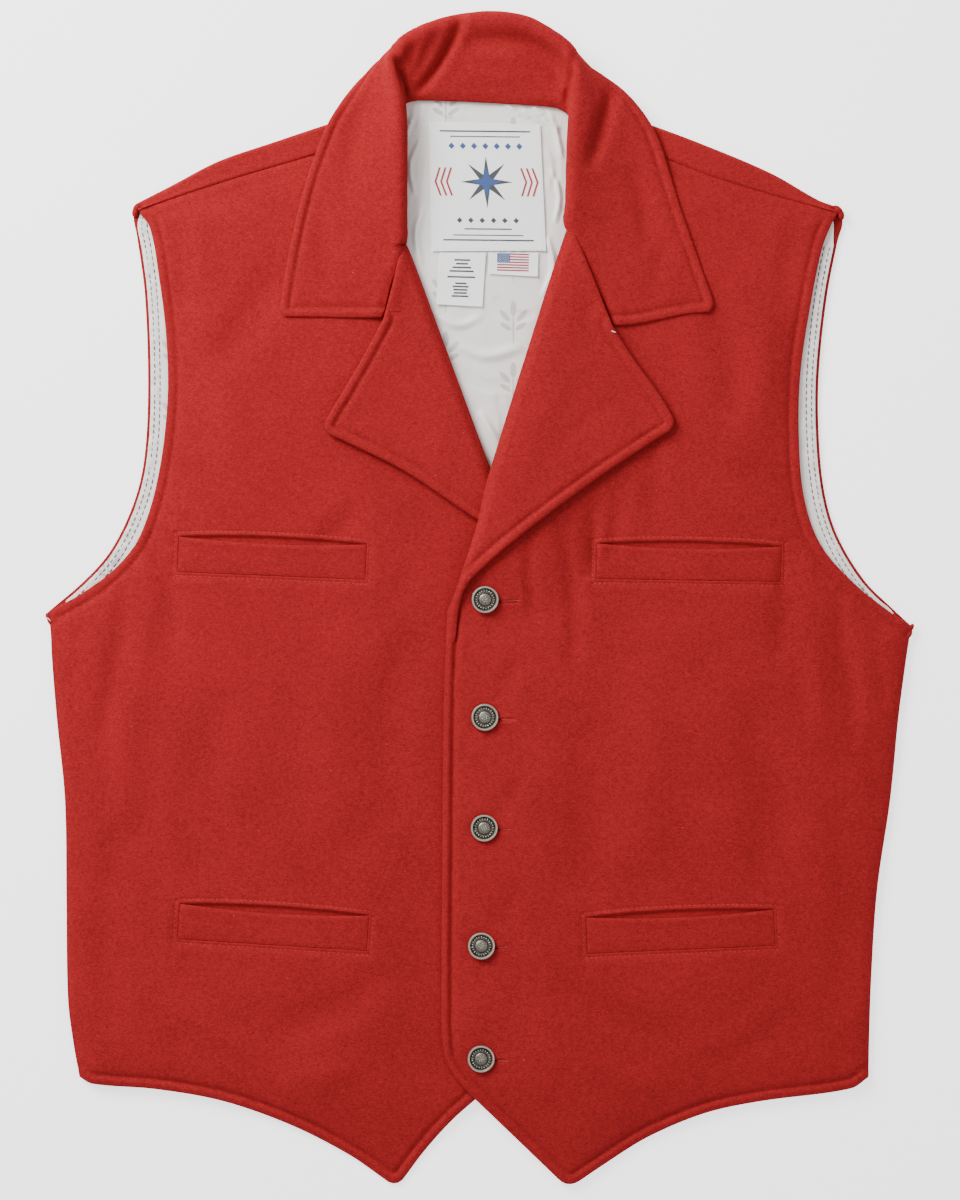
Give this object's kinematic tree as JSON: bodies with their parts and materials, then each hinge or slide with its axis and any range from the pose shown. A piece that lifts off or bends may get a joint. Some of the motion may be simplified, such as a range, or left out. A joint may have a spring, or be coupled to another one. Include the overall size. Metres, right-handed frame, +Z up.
{
  "type": "western vest",
  "caption": "Wool western vest laid flat on its back: pointed hem, notched lapels, turned collar, welt pockets, buttoned front and a grey lining.",
  "frame": {"origin": "on the surface that the vest lies on, in the middle of its width and its length", "axes": "+X to the wearer's left, +Y from the hem to the collar, +Z up from the surface, out of the fronts"},
  "size_m": [0.563, 0.763, 0.0212],
  "materials": {
    "wool": "napped red wool melton, matte",
    "lining": "warm grey woven satin with a tone-on-tone sprig",
    "label": "white woven ribbon",
    "pewter": "antique pewter plating, darkened in its recesses"
  },
  "bodies": {
    "root": {"back": "wool", "back_lining": "lining", "front_right": "wool", "front_left": "wool", "lapel_right": "wool", "lapel_left": "wool", "collar": "wool", "welt_chest_right": "wool", "welt_chest_left": "wool", "welt_waist_right": "wool", "welt_waist_left": "wool", "button_1": "pewter", "button_2": "pewter", "button_3": "pewter", "button_4": "pewter", "button_5": "pewter", "neck_label": "label", "care_label": "label", "flag_label": "label"}
  },
  "joints": []
}
